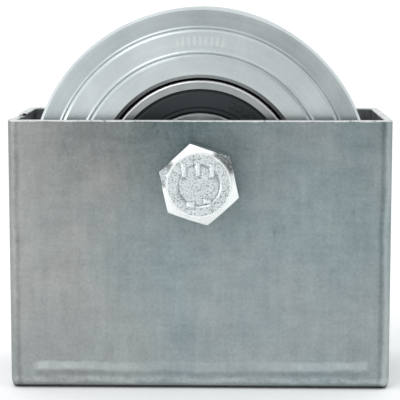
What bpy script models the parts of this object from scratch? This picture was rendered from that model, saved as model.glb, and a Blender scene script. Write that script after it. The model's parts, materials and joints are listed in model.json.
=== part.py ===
"""A U-groove gate wheel on two sealed ball bearings, in a welded steel box.

Metres, +Z up. The origin is the middle of the box's closed base. X runs along the box, the axle lies
along Y with the bolt head on -Y, and the wheel stands out of the open top: this is how the part is kept
on a shelf. In use it is turned over and let into the underside of a gate.
"""

import math

import bmesh
import bpy
from mathutils import Matrix

MM = 0.001

# The box is two half shells of one pressing, each bent round its flat face, and a weld between them.
BOX_LENGTH = 100.0 * MM
BOX_DEPTH = 48.0 * MM
BOX_HEIGHT = 71.0 * MM
SHEET = 2.0 * MM
BEND_RADIUS = 3.2 * MM  # outside of the bend
CORNER_IN = 1.4 * MM  # a lower corner's rounding along X, on the outside
CORNER_UP = 4.0 * MM  # and along Z
INNER_CORNER_IN = 1.0 * MM
INNER_CORNER_UP = 1.6 * MM
BEND_STEPS = 4
CORNER_STEPS = 4
BOLT_HOLE_RADIUS = 6.5 * MM

# The weld fills a V between the halves and is flush outside.
SEAM_GAP = 0.3 * MM
SEAM_BEVEL = 1.2 * MM
WELD_CLEARANCE = 0.3 * MM
WELD_ROOT_WIDTH = 0.2 * MM
WELD_TOP_DROP = 0.6 * MM  # the bead stops this far below the box's top edge

FIT = 0.3 * MM  # gap between pieces that touch
AXLE_HEIGHT = 55.0 * MM
INNER_FACE = BOX_DEPTH / 2 - SHEET  # the walls' inner faces, from the middle

# Wheel: the hub stands proud of the rim, and the groove takes a 20 mm round rail.
WHEEL_RADIUS = 45.0 * MM
HUB_HALF_WIDTH = 17.0 * MM
MIDDLE_HALF_WIDTH = 16.5 * MM
RIM_HALF_WIDTH = 15.6 * MM
RIM_CHAMFER = 0.7 * MM
HUB_RADIUS = 33.1 * MM
MIDDLE_RADIUS = 38.9 * MM
STEP_WIDTH = 1.2 * MM
GROOVE_RADIUS = 10.0 * MM
GROOVE_LAND = 0.2 * MM
GROOVE_STEPS = 8
WHEEL_SEGMENTS = 60
BORE_CHAMFER = 0.8 * MM
BORE_CLEARANCE = 0.15 * MM
RIB_RADIUS = 22.5 * MM

# Bearings: 25 mm bore, 52 mm outside, 15 mm wide, nine balls.
BEARING_BORE = 12.5 * MM
BEARING_RADIUS = 26.0 * MM
BEARING_HALF_WIDTH = 7.5 * MM
BEARING_RECESS = 1.0 * MM  # a bearing's outer face, behind the hub's
BEARING_CENTRE = HUB_HALF_WIDTH - BEARING_RECESS - BEARING_HALF_WIDTH
OUTER_CHAMFER = 0.8 * MM
INNER_CHAMFER = 0.5 * MM
INNER_RING_RADIUS = 17.3 * MM
OUTER_SHOULDER = 21.7 * MM
SEAL_SEAT = 23.9 * MM
SEAL_SEAT_DEPTH = 1.9 * MM
PITCH_RADIUS = 19.4 * MM
RACE_RADIUS = 4.22 * MM
RACE_STEPS = 4
BALL_RADIUS = 3.97 * MM
BALLS = 9
RING_SEGMENTS = 36

SEAL_INNER = 17.6 * MM
SEAL_OUTER = 23.65 * MM
SEAL_FACE = 7.3 * MM  # from the bearing's middle
SEAL_BACK = 5.9 * MM
SEAL_DISH = 0.3 * MM

CAGE_INNER = 18.0 * MM
CAGE_OUTER = 20.9 * MM
CAGE_OPEN_SIDE = 2.0 * MM
CAGE_BACK = 5.0 * MM
POCKET_RADIUS = 4.3 * MM

# Axle: an M12 bolt through a bush, with spacers that keep the rings off the walls.
BOLT_RADIUS = 6.0 * MM
BOLT_LENGTH = 65.0 * MM
ACROSS_FLATS = 18.7 * MM
HEAD_HEIGHT = 7.5 * MM
HEAD_FACE_RADIUS = 8.3 * MM  # where the head's chamfer starts
HEX_CHAMFER_SLOPE = math.tan(math.radians(30))
HEAD_TURN = math.radians(102)  # one corner, from +X towards +Z
NUT_TURN = math.radians(82)
BOLT_END_CHAMFER = 1.0 * MM
BUSH_RADIUS = 12.35 * MM
BUSH_BORE = 6.3 * MM
SPACER_BORE = 12.65 * MM
SPACER_RADIUS = 15.5 * MM
CENTRE_SPACER_RADIUS = 16.0 * MM
WASHER_RADIUS = 12.0 * MM
WASHER_BORE = 6.5 * MM
WASHER_THICKNESS = 2.5 * MM
NUT_HEX_HEIGHT = 9.0 * MM
NUT_HEIGHT = 12.0 * MM
NUT_BORE = 6.3 * MM
COLLAR_RADIUS = 8.3 * MM
COLLAR_WALL = 0.6 * MM
COLLAR_LIP = 0.8 * MM
INSERT_SEAT = 8.6 * MM  # the insert's pocket starts this far up the nut


def clear_scene():
    for old in list(bpy.data.objects):
        bpy.data.objects.remove(old)


def material(name, colour, roughness, metallic):
    made = bpy.data.materials.new(name)
    made.use_nodes = True
    shader = made.node_tree.nodes["Principled BSDF"]
    shader.inputs["Base Color"].default_value = (*colour, 1)
    shader.inputs["Roughness"].default_value = roughness
    shader.inputs["Metallic"].default_value = metallic
    return made


def empty(name, location):
    """A frame that the pieces of one moving body hang from."""
    made = bpy.data.objects.new(name, None)
    made.location = location
    bpy.context.scene.collection.objects.link(made)
    return made


def add(name, mesh, look, location=(0, 0, 0), parent=None):
    """Puts a mesh in the scene. location is from the parent, where there is one."""
    made = bpy.data.objects.new(name, mesh)
    made.location = location
    made.parent = parent
    bpy.context.scene.collection.objects.link(made)
    if look:
        mesh.materials.clear()
        mesh.materials.append(look)
    return made


def add_cutter(name, mesh, location=(0, 0, 0), parent=None):
    made = add(name, mesh, None, location, parent)
    made.hide_render = True
    made.display_type = "WIRE"
    return made


def boolean(target, operation, cutter):
    step = target.modifiers.new(cutter.name, "BOOLEAN")
    step.operation = operation
    step.solver = "EXACT"
    step.object = cutter


def mesh_from(bm, name):
    """Closes a bmesh into a mesh with its faces outwards, smooth where its faces nearly agree."""
    bmesh.ops.recalc_face_normals(bm, faces=bm.faces)
    mesh = bpy.data.meshes.new(name)
    bm.to_mesh(mesh)
    bm.free()
    mesh.shade_smooth()
    mesh.set_sharp_from_angle(angle=math.radians(30))
    return mesh


def turned_mesh(name, profile, segments=RING_SEGMENTS):
    """A solid of revolution about Y, from its closed outline of (radius, y) points."""
    bm = bmesh.new()
    rings = []
    for radius, y in profile:
        angles = [2 * math.pi * i / segments for i in range(segments if radius else 1)]
        rings.append([bm.verts.new((radius * math.cos(a), y, radius * math.sin(a))) for a in angles])
    for ring, following in zip(rings, rings[1:] + rings[:1]):
        for i in range(segments):
            pairs = (ring, i), (ring, i + 1), (following, i + 1), (following, i)
            corners = list(dict.fromkeys(loop[k % len(loop)] for loop, k in pairs))
            if len(corners) > 2:
                bm.faces.new(corners)
    return mesh_from(bm, name)


def tube_mesh(name, bore, radius, length, segments=RING_SEGMENTS):
    """A plain tube along Y, centred on its middle."""
    half = length / 2
    return turned_mesh(name, [(bore, -half), (radius, -half), (radius, half), (bore, half)], segments)


def hex_prism_mesh(name, across_flats, start, end, turn):
    bm = bmesh.new()
    corner = across_flats / 2 / math.cos(math.pi / 6)
    angles = [turn + math.pi / 3 * i for i in range(6)]
    near = [bm.verts.new((corner * math.cos(a), start, corner * math.sin(a))) for a in angles]
    far = [bm.verts.new((v.co.x, end, v.co.z)) for v in near]
    bm.faces.new(near)
    bm.faces.new(far[::-1])
    for i in range(6):
        j = (i + 1) % 6
        bm.faces.new((near[i], far[i], far[j], near[j]))
    return mesh_from(bm, name)


def box_outline(inset, corner_in, corner_up, top=BOX_HEIGHT):
    """The box seen from the front, open at the top: (x, z) points from the top left, down and round."""
    side = BOX_LENGTH / 2 - inset
    left = [(-side, top)]
    for i in range(CORNER_STEPS + 1):
        a = math.pi / 2 * i / CORNER_STEPS
        x = -side + corner_in * (1 - math.cos(a))
        left.append((x, inset + corner_up * (1 - math.sin(a))))
    return left + [(-x, z) for x, z in reversed(left)]


def outer_outline(inset, top=BOX_HEIGHT):
    """The outside, drawn in by inset. Its lower corners tighten towards the box's flat face."""
    tighter = inset / BEND_RADIUS
    return box_outline(inset, CORNER_IN * (1 - 0.7 * tighter), CORNER_UP * (1 - 0.8 * tighter), top)


def inner_outline(inset):
    tighter = (inset - SHEET) / (BEND_RADIUS - SHEET)
    return box_outline(inset, INNER_CORNER_IN * (1 - 0.5 * tighter), INNER_CORNER_UP * (1 - 0.5 * tighter))


def shell_mesh(name, side):
    """Half a box: a flat face at y = side * BOX_DEPTH / 2, and its three walls bent towards the seam."""
    flat = BOX_DEPTH / 2
    seam = SEAM_GAP / 2
    bend = [math.pi / 2 * i / BEND_STEPS for i in range(BEND_STEPS + 1)]
    inner_bend = BEND_RADIUS - SHEET
    outer = [(outer_outline(SEAM_BEVEL), seam), (outer_outline(0), seam + SEAM_BEVEL)]
    for a in bend:
        depth = flat - BEND_RADIUS * (1 - math.sin(a))
        outer.append((outer_outline(BEND_RADIUS * (1 - math.cos(a))), depth))
    inner = [(inner_outline(SHEET), seam)]
    for a in bend:
        depth = flat - SHEET - inner_bend * (1 - math.sin(a))
        inner.append((inner_outline(SHEET + inner_bend * (1 - math.cos(a))), depth))
    bm = bmesh.new()
    loops = [[bm.verts.new((x, side * y, z)) for x, z in line] for line, y in outer[::-1] + inner]
    flat_loop, floor_loop = loops[0], loops[-1]
    for loop, following in zip(loops, loops[1:]):
        for i in range(len(loop) - 1):
            bm.faces.new((loop[i], loop[i + 1], following[i + 1], following[i]))
    bm.faces.new(flat_loop)
    bm.faces.new(floor_loop)
    bm.faces.new([loop[0] for loop in loops] + [loop[-1] for loop in reversed(loops)])
    return mesh_from(bm, name)


def weld_mesh(name):
    """The bead: a trapezium swept round the box, its wide side flush with the outside."""
    face = SEAM_GAP / 2 + SEAM_BEVEL - WELD_CLEARANCE
    root = WELD_ROOT_WIDTH / 2
    depth = face - root
    top = BOX_HEIGHT - WELD_TOP_DROP
    section = [(0, -face), (0, face), (depth, root), (depth, -root)]
    bm = bmesh.new()
    lines = [[bm.verts.new((x, y, z)) for x, z in outer_outline(inset, top)] for inset, y in section]
    for line, following in zip(lines, lines[1:] + lines[:1]):
        for i in range(len(line) - 1):
            bm.faces.new((line[i], line[i + 1], following[i + 1], following[i]))
    for end in (0, -1):
        bm.faces.new([line[end] for line in lines])
    return mesh_from(bm, name)


def make_box(steel, weld_steel):
    front = add("front_shell", shell_mesh("front_shell", -1), steel)
    rear = add("rear_shell", shell_mesh("rear_shell", 1), steel)
    add("seam_weld", weld_mesh("seam_weld"), weld_steel)
    reach = [(0, -BOX_DEPTH), (BOLT_HOLE_RADIUS, -BOX_DEPTH), (BOLT_HOLE_RADIUS, BOX_DEPTH), (0, BOX_DEPTH)]
    drill = add_cutter("bolt_hole_cutter", turned_mesh("bolt_hole_cutter", reach), (0, 0, AXLE_HEIGHT))
    boolean(front, "DIFFERENCE", drill)
    boolean(rear, "DIFFERENCE", drill)


def wheel_profile():
    """Half the wheel's section, from the rib between the bearings to the groove's edge, and mirrored."""
    rib = BEARING_CENTRE - BEARING_HALF_WIDTH - FIT
    bore = BEARING_RADIUS + BORE_CLEARANCE
    half = [
        (RIB_RADIUS, rib),
        (bore, rib),
        (bore, HUB_HALF_WIDTH - BORE_CHAMFER),
        (bore + BORE_CHAMFER, HUB_HALF_WIDTH),
        (HUB_RADIUS, HUB_HALF_WIDTH),
        (HUB_RADIUS + STEP_WIDTH, MIDDLE_HALF_WIDTH),
        (MIDDLE_RADIUS, MIDDLE_HALF_WIDTH),
        (MIDDLE_RADIUS + STEP_WIDTH, RIM_HALF_WIDTH + GROOVE_LAND),
        (WHEEL_RADIUS - RIM_CHAMFER, RIM_HALF_WIDTH),
        (WHEEL_RADIUS, RIM_HALF_WIDTH - RIM_CHAMFER),
        (WHEEL_RADIUS, GROOVE_RADIUS + GROOVE_LAND),
    ]
    groove = []
    for i in range(1, GROOVE_STEPS):
        a = math.pi * i / GROOVE_STEPS
        groove.append((WHEEL_RADIUS - GROOVE_RADIUS * math.sin(a), GROOVE_RADIUS * math.cos(a)))
    return half + groove + [(r, -y) for r, y in reversed(half)]


def race_arc(side, steps=RACE_STEPS):
    """Points on a raceway between its two shoulders, from +y to -y. side is 1 outside the balls, -1 inside."""
    shoulder = OUTER_SHOULDER if side > 0 else INNER_RING_RADIUS
    start = math.acos(abs(shoulder - PITCH_RADIUS) / RACE_RADIUS)
    angles = [start * (1 - 2 * i / steps) for i in range(steps + 1)]
    return [(PITCH_RADIUS + side * RACE_RADIUS * math.cos(a), RACE_RADIUS * math.sin(a)) for a in angles]


def outer_ring_profile():
    half = [
        (BEARING_RADIUS, BEARING_HALF_WIDTH - OUTER_CHAMFER),
        (BEARING_RADIUS - OUTER_CHAMFER, BEARING_HALF_WIDTH),
        (SEAL_SEAT, BEARING_HALF_WIDTH),
        (SEAL_SEAT, BEARING_HALF_WIDTH - SEAL_SEAT_DEPTH),
        (OUTER_SHOULDER, BEARING_HALF_WIDTH - SEAL_SEAT_DEPTH),
    ]
    return half + race_arc(1) + [(r, -y) for r, y in reversed(half)]


def inner_ring_profile():
    half = [
        (BEARING_BORE, BEARING_HALF_WIDTH - INNER_CHAMFER),
        (BEARING_BORE + INNER_CHAMFER, BEARING_HALF_WIDTH),
        (INNER_RING_RADIUS - INNER_CHAMFER, BEARING_HALF_WIDTH),
        (INNER_RING_RADIUS, BEARING_HALF_WIDTH - INNER_CHAMFER),
    ]
    return half + race_arc(-1) + [(r, -y) for r, y in reversed(half)]


def seal_profile(side):
    """A rubber-faced disc: side is 1 where its face looks towards +y. Its middle is dished in a little."""
    middle = (SEAL_INNER + SEAL_OUTER) / 2
    points = [
        (SEAL_INNER, SEAL_BACK),
        (SEAL_OUTER, SEAL_BACK),
        (SEAL_OUTER, SEAL_FACE),
        (middle, SEAL_FACE - SEAL_DISH),
        (SEAL_INNER, SEAL_FACE - SEAL_DISH),
    ]
    return [(r, side * y) for r, y in points]


def ball_places():
    angles = [2 * math.pi * i / BALLS for i in range(BALLS)]
    return [(PITCH_RADIUS * math.cos(a), 0, PITCH_RADIUS * math.sin(a)) for a in angles]


def pockets_mesh(name):
    bm = bmesh.new()
    for place in ball_places():
        matrix = Matrix.Translation(place)
        bmesh.ops.create_uvsphere(bm, u_segments=12, v_segments=8, radius=POCKET_RADIUS, matrix=matrix)
    return mesh_from(bm, name)


def ball_mesh(name):
    bm = bmesh.new()
    bmesh.ops.create_icosphere(bm, subdivisions=2, radius=BALL_RADIUS)
    return mesh_from(bm, name)


def make_bearing(side_name, side, wheel_pivot, looks):
    """One sealed bearing. side is -1 at the front and 1 at the rear, where outboard is away from the middle."""
    centre = (0, side * BEARING_CENTRE, 0)
    prefix = side_name + "_bearing_"
    outer_ring = turned_mesh(prefix + "outer_ring", outer_ring_profile())
    add(prefix + "outer_ring", outer_ring, looks["bearing steel"], centre, wheel_pivot)
    for place, facing in (("outboard", side), ("inboard", -side)):
        name = f"{prefix}{place}_seal"
        add(name, turned_mesh(name, seal_profile(facing)), looks["seal rubber"], centre, wheel_pivot)
    in_box = (0, centre[1], AXLE_HEIGHT)
    inner_ring = turned_mesh(prefix + "inner_ring", inner_ring_profile())
    add(prefix + "inner_ring", inner_ring, looks["bearing steel"], in_box)

    cage_pivot = empty(side_name + "_cage_pivot", in_box)
    back, open_side = -side * CAGE_BACK, side * CAGE_OPEN_SIDE
    section = [(CAGE_INNER, back), (CAGE_OUTER, back), (CAGE_OUTER, open_side), (CAGE_INNER, open_side)]
    cage = add(prefix + "cage", turned_mesh(prefix + "cage", section), looks["cage nylon"], parent=cage_pivot)
    pockets = add_cutter(prefix + "cage_pockets", pockets_mesh(prefix + "cage_pockets"), parent=cage_pivot)
    boolean(cage, "DIFFERENCE", pockets)
    ball = ball_mesh(prefix + "ball")
    for number, place in enumerate(ball_places(), 1):
        add(f"{prefix}ball_{number}", ball, looks["bearing steel"], place, cage_pivot)


def make_bush_and_spacers(steel):
    bush = tube_mesh("axle_bush", BUSH_BORE, BUSH_RADIUS, 2 * (INNER_FACE - FIT))
    add("axle_bush", bush, steel, (0, 0, AXLE_HEIGHT))
    ring_face = BEARING_CENTRE + BEARING_HALF_WIDTH
    length = INNER_FACE - ring_face - 2 * FIT
    for name, side in (("front_spacer", -1), ("rear_spacer", 1)):
        tube = tube_mesh(name, SPACER_BORE, SPACER_RADIUS, length)
        add(name, tube, steel, (0, side * (INNER_FACE + ring_face) / 2, AXLE_HEIGHT))
    between = 2 * (BEARING_CENTRE - BEARING_HALF_WIDTH - FIT)
    centre = tube_mesh("centre_spacer", SPACER_BORE, CENTRE_SPACER_RADIUS, between)
    add("centre_spacer", centre, steel, (0, 0, AXLE_HEIGHT))


def cut_hexagon(target, turn):
    """Cuts a turned piece to a hexagon, as bar stock would be. The shank inside the flats is left as it is."""
    name = target.name + "_hexagon"
    prism = hex_prism_mesh(name, ACROSS_FLATS, -BOLT_LENGTH, BOLT_LENGTH, turn)
    boolean(target, "INTERSECT", add_cutter(name, prism, target.location))


def make_bolt(zinc):
    """The bolt's origin is under its head."""
    corner = ACROSS_FLATS / 2 / math.cos(math.pi / 6) + FIT
    slope = (corner - HEAD_FACE_RADIUS) * HEX_CHAMFER_SLOPE
    profile = [
        (0, -HEAD_HEIGHT),
        (HEAD_FACE_RADIUS, -HEAD_HEIGHT),
        (corner, -HEAD_HEIGHT + slope),
        (corner, 0),
        (BOLT_RADIUS, 0),
        (BOLT_RADIUS, BOLT_LENGTH - BOLT_END_CHAMFER),
        (BOLT_RADIUS - BOLT_END_CHAMFER, BOLT_LENGTH),
        (0, BOLT_LENGTH),
    ]
    under_head = (0, -BOX_DEPTH / 2 - FIT, AXLE_HEIGHT)
    bolt = add("axle_bolt", turned_mesh("axle_bolt", profile), zinc, under_head)
    cut_hexagon(bolt, HEAD_TURN)


def make_rear_fasteners(zinc, nylon):
    washer_face = BOX_DEPTH / 2 + FIT
    washer = tube_mesh("rear_washer", WASHER_BORE, WASHER_RADIUS, WASHER_THICKNESS)
    add("rear_washer", washer, zinc, (0, washer_face + WASHER_THICKNESS / 2, AXLE_HEIGHT))

    corner = ACROSS_FLATS / 2 / math.cos(math.pi / 6) + FIT
    slope = (corner - HEAD_FACE_RADIUS) * HEX_CHAMFER_SLOPE
    pocket = COLLAR_RADIUS - COLLAR_WALL
    lip = NUT_HEIGHT - COLLAR_LIP
    profile = [
        (NUT_BORE, 0),
        (HEAD_FACE_RADIUS, 0),
        (corner, slope),
        (corner, NUT_HEX_HEIGHT - slope),
        (COLLAR_RADIUS, NUT_HEX_HEIGHT),
        (COLLAR_RADIUS, lip),
        (COLLAR_RADIUS - COLLAR_LIP, NUT_HEIGHT),
        (pocket - COLLAR_LIP, NUT_HEIGHT),
        (pocket - COLLAR_LIP, lip),
        (pocket, lip),
        (pocket, INSERT_SEAT),
        (NUT_BORE, INSERT_SEAT),
    ]
    nut_face = washer_face + WASHER_THICKNESS + FIT
    nut = add("lock_nut", turned_mesh("lock_nut", profile), zinc, (0, nut_face, AXLE_HEIGHT))
    cut_hexagon(nut, NUT_TURN)
    ring = tube_mesh("lock_nut_insert", NUT_BORE, pocket - FIT, lip - INSERT_SEAT - 2 * FIT)
    add("lock_nut_insert", ring, nylon, (0, nut_face + (INSERT_SEAT + lip) / 2, AXLE_HEIGHT))


def make_wheel(looks):
    pivot = empty("wheel_pivot", (0, 0, AXLE_HEIGHT))
    wheel = turned_mesh("wheel", wheel_profile(), WHEEL_SEGMENTS)
    add("wheel", wheel, looks["wheel zinc"], parent=pivot)
    make_bearing("front", -1, pivot, looks)
    make_bearing("rear", 1, pivot, looks)


def main():
    clear_scene()
    looks = {
        "box steel": material("box steel", (0.30, 0.32, 0.32), 0.45, 0.75),
        "weld steel": material("weld steel", (0.26, 0.26, 0.26), 0.55, 0.8),
        "wheel zinc": material("wheel zinc", (0.55, 0.59, 0.60), 0.32, 0.9),
        "bolt zinc": material("bolt zinc", (0.72, 0.73, 0.74), 0.22, 1.0),
        "bearing steel": material("bearing steel", (0.50, 0.50, 0.51), 0.25, 1.0),
        "seal rubber": material("seal rubber", (0.03, 0.035, 0.035), 0.55, 0.0),
        "cage nylon": material("cage nylon", (0.55, 0.50, 0.40), 0.5, 0.0),
        "spacer steel": material("spacer steel", (0.35, 0.35, 0.35), 0.35, 1.0),
        "insert nylon": material("insert nylon", (0.05, 0.12, 0.35), 0.5, 0.0),
    }
    make_box(looks["box steel"], looks["weld steel"])
    make_wheel(looks)
    make_bush_and_spacers(looks["spacer steel"])
    make_bolt(looks["bolt zinc"])
    make_rear_fasteners(looks["bolt zinc"], looks["insert nylon"])
    bpy.context.view_layer.update()


main()
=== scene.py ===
"""The looks of the gate wheel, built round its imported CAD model.

Metres, in the model's frame: the box stands on z = 0 with its open side up, the axle lies along Y and the
bolt head is on -Y. Every piece is rebuilt finely on its node's own place and size.
"""

import json
import math

import bmesh
import bpy
from mathutils import Matrix, Vector, noise


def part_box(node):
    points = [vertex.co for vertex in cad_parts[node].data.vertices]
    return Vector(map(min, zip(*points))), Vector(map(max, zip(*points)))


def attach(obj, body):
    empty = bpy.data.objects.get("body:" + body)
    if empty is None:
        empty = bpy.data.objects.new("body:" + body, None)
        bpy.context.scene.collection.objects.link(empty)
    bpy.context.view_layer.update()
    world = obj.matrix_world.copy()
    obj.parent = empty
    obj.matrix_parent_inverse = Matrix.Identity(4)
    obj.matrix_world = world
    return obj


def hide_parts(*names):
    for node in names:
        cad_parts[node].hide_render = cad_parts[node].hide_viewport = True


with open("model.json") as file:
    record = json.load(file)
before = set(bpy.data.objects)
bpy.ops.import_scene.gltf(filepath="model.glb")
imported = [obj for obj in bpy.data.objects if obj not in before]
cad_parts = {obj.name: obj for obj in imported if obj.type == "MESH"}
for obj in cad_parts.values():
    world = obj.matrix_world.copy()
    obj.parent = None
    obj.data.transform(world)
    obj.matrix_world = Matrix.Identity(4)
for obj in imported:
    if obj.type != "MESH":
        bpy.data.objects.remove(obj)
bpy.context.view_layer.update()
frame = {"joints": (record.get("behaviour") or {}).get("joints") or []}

MM = 0.001

# ---------------------------------------------------------------- sizes, from the frame where it has them

SHELL_LOW, SHELL_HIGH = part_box("front_shell")
BOX_HALF_LENGTH = SHELL_HIGH.x
BOX_HALF_DEPTH = -SHELL_LOW.y
BOX_HEIGHT = SHELL_HIGH.z
SHEET = 2.0 * MM
BEND_RADIUS = 3.2 * MM
CORNER_IN = 1.1 * MM
CORNER_UP = 2.8 * MM
INNER_CORNER_IN = 1.0 * MM
INNER_CORNER_UP = 1.6 * MM
SEAM_HALF_GAP = 0.05 * MM
SEAM_BEVEL = 1.2 * MM
RIPPLE_PITCH = 1.3 * MM
WELD_STEP = 0.35 * MM
BOLT_HOLE_RADIUS = 6.5 * MM

# The height of a painted shadow line along the base, then marks that the press leaves, as heights above the
# floor and as a span along X.
SHADOW_LINE_HEIGHT = 1.2 * MM
PALE_STRIPE = (1.6 * MM, 3.0 * MM)
DULL_STRIPE = (3.6 * MM, 4.7 * MM)
BURNISHED_STRIPE = (5.2 * MM, 7.3 * MM)
STRIPE_SPAN = (-43.2 * MM, 43.8 * MM)

# The sheet's inside starts this far behind its outer face, and all of it is inside a little deeper.
INSIDE_STARTS = 1.85 * MM
INSIDE_FULL = 1.95 * MM

JOINTS = {joint["name"]: joint for joint in frame["joints"]}
AXLE = Vector(JOINTS["wheel_spin"]["pos_m"])
WHEEL_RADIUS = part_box("wheel")[1].x
GROOVE_RADIUS = 10.0 * MM
WHEEL_BORE_RADIUS = 26.6 * MM
WHEEL_MOUTH_RADIUS = 27.5 * MM
TICK_RADII = (35.0 * MM, 37.4 * MM)
TICKS_PER_RADIAN = 24.0
TICKS_HALF_ARC = 0.2

RING_LOW, RING_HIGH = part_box("rear_bearing_outer_ring")
BEARING_HALF_WIDTH = (RING_HIGH.y - RING_LOW.y) / 2
BEARING_CENTRE = (RING_HIGH.y + RING_LOW.y) / 2
OUTER_SHOULDER = 21.7 * MM
INNER_SHOULDER = 17.3 * MM
PITCH_RADIUS = 19.4 * MM
BALL_RADIUS = 3.97 * MM
RACE_RADIUS = 4.22 * MM
POCKET_RADIUS = 4.15 * MM
BALLS = 9

ACROSS_FLATS = 18.7 * MM
CHAMFER_SLOPE = math.tan(math.radians(30))
HEAD_HEIGHT = 7.5 * MM
HEAD_FACE_RADIUS = 8.3 * MM
HEAD_RINGS = 52
HEAD_TURN = math.radians(102)
RECESS_RADIUS = 5.9 * MM
RECESS_DEPTH = 0.2 * MM
HOLLOW_RING_RADIUS = 5.2 * MM
HOLLOW_RING_HALF_WIDTH = 0.4 * MM
HOLLOW_DEPTH = 0.12 * MM
BAR_HEIGHT = 0.2 * MM
# Raised bars on the head, in mm: middle x, middle z, half width, half height.
HEAD_BARS = [
    (-3.8, 3.6, 0.55, 1.6),
    (-0.2, 4.0, 0.55, 1.6),
    (3.4, 3.7, 0.55, 1.6),
    (-2.0, -5.0, 0.9, 0.5),
    (2.2, -4.2, 0.9, 0.5),
]
# Where two of the head's corners get a painted dark reflection, in degrees round the axle.
PAINTED_REFLECTION_CORNERS = (162, 42)
BOLT_RADIUS = 6.0 * MM
BOLT_LENGTH = 65.0 * MM
THREAD_LENGTH = 30.0 * MM
THREAD_PITCH = 1.75 * MM
THREAD_DEPTH = 0.95 * MM
THREAD_STEPS = 10
WASHER_THICKNESS = 2.5 * MM
NUT_TURN = math.radians(82)
NUT_HEIGHT = 9.2 * MM
# The rings, the nut and the floor stay this far off their neighbours.
GAP = 0.02 * MM

LENS = 142.9
CAMERA_PLACE = (0.0094, -0.4325, 0.1031)
# The camera looks along Y, turned by these angles in degrees.
CAMERA_DOWN = 7.36
CAMERA_LEFT = 1.30
FLOOR_HALF_SIZE = 4.0
# Name, place, size in metres and power in watts.
SOFTBOXES = (
    ("key softbox", (-0.3, -0.45, 0.7), 0.35, 0.65),
    ("left softbox", (-0.75, -0.3, 0.16), 0.3, 1.0),
)


# ---------------------------------------------------------------- meshes

KEEP_FLAT = "flat faces stay flat"


def finish_mesh(bm, name, look, body, nodes, place=(0, 0, 0), sharp=35):
    """A closed bmesh becomes a smooth-shaded piece that stands for its CAD nodes and rides on their body."""
    bmesh.ops.recalc_face_normals(bm, faces=bm.faces)
    mesh = bpy.data.meshes.new(name)
    bm.to_mesh(mesh)
    bm.free()
    mesh.shade_smooth()
    mesh.set_sharp_from_angle(angle=math.radians(sharp))
    made = bpy.data.objects.new(name, mesh)
    made.location = place
    bpy.context.scene.collection.objects.link(made)
    mesh.materials.append(look)
    weighted = made.modifiers.new(KEEP_FLAT, "WEIGHTED_NORMAL")
    weighted.keep_sharp = True
    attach(made, body)
    if nodes:
        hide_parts(*nodes)
    return made


def rounded(corners, steps=5):
    """A closed outline of (r, y, fillet) corners, in mm, as (r, y) points in metres, the corners rounded."""
    points = [Vector((r, y)) * MM for r, y, _ in corners]
    outline = []
    for i, (_, _, fillet) in enumerate(corners):
        here, before, after = points[i], points[i - 1], points[(i + 1) % len(points)]
        to_before, to_after = before - here, after - here
        angle = to_before.angle(to_after)
        if fillet == 0 or angle > math.radians(178):
            outline.append(tuple(here))
            continue
        reach = fillet * MM / math.tan(angle / 2)
        reach = min(reach, 0.48 * to_before.length, 0.48 * to_after.length)
        start = here + to_before.normalized() * reach
        end = here + to_after.normalized() * reach
        radius = reach * math.tan(angle / 2)
        halfway = (to_before.normalized() + to_after.normalized()).normalized()
        centre = here + halfway * radius / math.sin(angle / 2)
        sweep = (start - centre).angle_signed(end - centre)
        for k in range(steps + 1):
            turned = (start - centre).copy()
            turned.rotate(Matrix.Rotation(-sweep * k / steps, 2))
            outline.append(tuple(centre + turned))
    return outline


def polar_bmesh(loops, segments):
    """Bridges loops of points round the Y axis, the last to the first. A loop is f(angle) -> (radius, y).

    A loop of radius 0 is one point on the axis.
    """
    bm = bmesh.new()
    rings = []
    for loop in loops:
        if loop(0.0)[0] == 0:
            rings.append([bm.verts.new((0, loop(0.0)[1], 0))])
            continue
        ring = []
        for i in range(segments):
            angle = 2 * math.pi * i / segments
            radius, y = loop(angle)
            ring.append(bm.verts.new((radius * math.cos(angle), y, radius * math.sin(angle))))
        rings.append(ring)
    for ring, following in zip(rings, rings[1:] + rings[:1]):
        for i in range(segments):
            pairs = (ring, i), (ring, i + 1), (following, i + 1), (following, i)
            corners = list(dict.fromkeys(loop[k % len(loop)] for loop, k in pairs))
            if len(corners) > 2:
                bm.faces.new(corners)
    return bm


def lathe(outline, segments=144):
    """Turns a closed outline of (r, y) points round the Y axis."""
    return polar_bmesh([lambda angle, point=point: point for point in outline], segments)


def mirrored(half):
    """A half section from the middle plane outwards, closed with its own mirror image."""
    return half + [(r, -y, fillet) for r, y, fillet in reversed(half)]


def cut(target, cutter_bm):
    """Cuts a closed bmesh out of a piece, for good."""
    bmesh.ops.recalc_face_normals(cutter_bm, faces=cutter_bm.faces)
    mesh = bpy.data.meshes.new("cutter")
    cutter_bm.to_mesh(mesh)
    cutter_bm.free()
    cutter = bpy.data.objects.new("cutter", mesh)
    cutter.matrix_world = target.matrix_world
    bpy.context.scene.collection.objects.link(cutter)
    step = target.modifiers.new("cut", "BOOLEAN")
    step.operation = "DIFFERENCE"
    step.object = cutter
    target.modifiers.move(len(target.modifiers) - 1, 0)
    bpy.context.view_layer.update()
    weighted = target.modifiers[KEEP_FLAT]
    weighted.show_viewport = False
    evaluated = target.evaluated_get(bpy.context.evaluated_depsgraph_get())
    result = bpy.data.meshes.new_from_object(evaluated)
    target.modifiers.remove(step)
    weighted.show_viewport = True
    target.data = result
    bpy.data.objects.remove(cutter)


# ---------------------------------------------------------------- materials

def add_node(tree, kind, inputs, **settings):
    """A node with these settings. Each input is another node's output, or a plain value."""
    made = tree.nodes.new(kind)
    for key, value in settings.items():
        setattr(made, key, value)
    for key, value in inputs.items():
        if isinstance(value, bpy.types.NodeSocket):
            tree.links.new(value, made.inputs[key])
        else:
            made.inputs[key].default_value = value
    return made


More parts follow.
